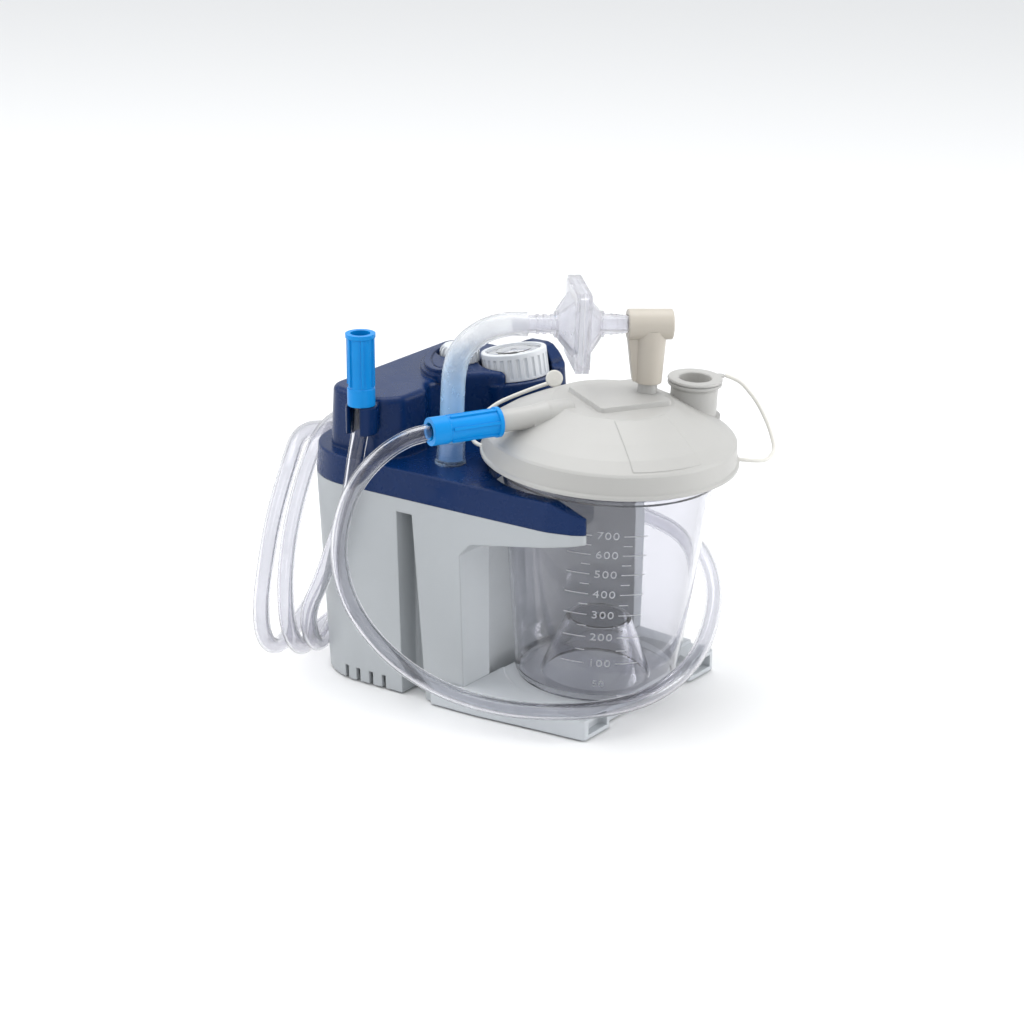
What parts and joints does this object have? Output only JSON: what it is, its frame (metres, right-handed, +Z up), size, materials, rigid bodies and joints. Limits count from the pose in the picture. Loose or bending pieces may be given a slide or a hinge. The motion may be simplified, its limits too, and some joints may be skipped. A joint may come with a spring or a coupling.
{
  "type": "suction pump",
  "caption": "Portable suction pump with navy cover, grey housing, clear collection canister in a front bay, bacteria filter line, gauge and coiled patient tube.",
  "frame": {"origin": "bottom centre of the bounding box of everything except the patient tube and its two connectors; the table is z = 0", "axes": "+Z up, -Y is the front where the canister stands, +X is the operator's right seen from the front"},
  "size_m": [0.2299, 0.2788, 0.2346],
  "materials": {
    "lower_housing": "fine moulded texture",
    "rubber_feet": "matte",
    "base_tray": "fine moulded texture",
    "upper_cover": "satin navy",
    "tube_clip": "satin navy",
    "gauge_bezel": "fluted satin",
    "gauge_case": "plain",
    "gauge_dial": "printed scale",
    "gauge_lens": "clear",
    "gauge_needle": "black",
    "regulator_knob": "fluted satin",
    "regulator_stem": "turned",
    "regulator_valve": "turned",
    "inlet_barb": "translucent blue grey",
    "switch_frame": "black",
    "switch_rocker": "black",
    "power_inlet": "black",
    "motor_can": "plated",
    "motor_shaft": "ground",
    "cooling_fan": "black",
    "eccentric": "machined",
    "crank_bearing": "polished",
    "pump_crankcase": "die cast",
    "connecting_rod": "machined",
    "pump_piston": "cup seal",
    "pump_cylinder": "anodised",
    "valve_plate": "flat",
    "pump_head": "die cast",
    "pump_bracket": "zinc plated",
    "pump_mounts": "matte",
    "pump_screws": "zinc plated",
    "battery_pack": "shrink wrapped",
    "circuit_board": "solder mask",
    "exhaust_muffler": "black",
    "cover_screws": "zinc plated",
    "inlet_hose": "silicone",
    "canister": "clear moulded plastic",
    "lid": "off white",
    "lid_gasket": "silicone",
    "float_cage": "light grey",
    "float_ball": "pale",
    "spout_plug": "off white",
    "spout_strap": "soft band",
    "port_strap": "soft band",
    "port_stopper": "soft",
    "elbow": "beige",
    "filter_hose_shell": "clear",
    "filter_elbow_shell": "clear",
    "filter_membrane": "pleated paper",
    "suction_hose": "milky silicone",
    "patient_connector": "azure blue",
    "free_connector": "azure blue",
    "patient_tube": "clear flexible"
  },
  "bodies": {
    "base": {"lower_housing": "lower_housing", "rubber_feet": "rubber_feet", "base_tray": "base_tray", "upper_cover": "upper_cover", "tube_clip": "tube_clip", "gauge_bezel": "gauge_bezel", "gauge_case": "gauge_case", "gauge_dial": "gauge_dial", "gauge_lens": "gauge_lens", "regulator_valve": "regulator_valve", "inlet_barb": "inlet_barb", "switch_frame": "switch_frame", "power_inlet": "power_inlet", "motor_can": "motor_can", "pump_crankcase": "pump_crankcase", "connecting_rod": "connecting_rod", "pump_piston": "pump_piston", "pump_cylinder": "pump_cylinder", "valve_plate": "valve_plate", "pump_head": "pump_head", "pump_bracket": "pump_bracket", "pump_mounts": "pump_mounts", "pump_screws": "pump_screws", "battery_pack": "battery_pack", "circuit_board": "circuit_board", "exhaust_muffler": "exhaust_muffler", "cover_screws": "cover_screws", "inlet_hose": "inlet_hose", "free_connector": "free_connector", "patient_tube": "patient_tube"},
    "canister": {"canister": "canister"},
    "lid": {"lid": "lid", "lid_gasket": "lid_gasket", "float_cage": "float_cage", "spout_strap": "spout_strap", "port_strap": "port_strap", "port_stopper": "port_stopper", "patient_connector": "patient_connector"},
    "float": {"float_ball": "float_ball"},
    "vacuum_line": {"elbow": "elbow", "filter_hose_shell": "filter_hose_shell", "filter_elbow_shell": "filter_elbow_shell", "filter_membrane": "filter_membrane", "suction_hose": "suction_hose"},
    "spout_plug": {"spout_plug": "spout_plug"},
    "regulator": {"regulator_knob": "regulator_knob", "regulator_stem": "regulator_stem"},
    "needle": {"gauge_needle": "gauge_needle"},
    "rocker": {"switch_rocker": "switch_rocker"},
    "rotor": {"motor_shaft": "motor_shaft", "cooling_fan": "cooling_fan", "eccentric": "eccentric", "crank_bearing": "crank_bearing"}
  },
  "joints": [
    {"name": "canister_lift", "type": "slide", "parent": "base", "child": "canister", "axis": [0, -0.0628, 0.998], "range_m": [0, 0.06]},
    {"name": "lid_lift", "type": "slide", "parent": "canister", "child": "lid", "axis": [0, -0.0628, 0.998], "range_m": [0, 0.025]},
    {"name": "filter_line_pull", "type": "slide", "parent": "lid", "child": "vacuum_line", "axis": [0, -0.0628, 0.998], "range_m": [0, 0.018]},
    {"name": "stopper_pull", "type": "slide", "parent": "lid", "child": "spout_plug", "axis": [0, -0.0628, 0.998], "range_m": [0, 0.01]},
    {"name": "float_rise", "type": "slide", "parent": "lid", "child": "float", "axis": [0, -0.0628, 0.998], "range_m": [0, 0.01]},
    {"name": "regulator_turn", "type": "hinge", "parent": "base", "child": "regulator", "pos_m": [0.02729, 0.07037, 0.167], "axis": [0, 0, 1], "range_deg": [-150, 150]},
    {"name": "needle_turn", "type": "hinge", "parent": "base", "child": "needle", "pos_m": [0.04239, 0.04157, 0.159], "axis": [0, 0.1478, 0.989], "range_deg": [-130, 130]},
    {"name": "power_rock", "type": "hinge", "parent": "base", "child": "rocker", "pos_m": [0.07149, 0.07957, 0.048], "axis": [0, 1, 0], "range_deg": [-14, 0]},
    {"name": "motor_spin", "type": "hinge", "parent": "base", "child": "rotor", "pos_m": [0.00289, 0.08357, 0.042], "axis": [1, 0, 0], "continuous": true}
  ]
}
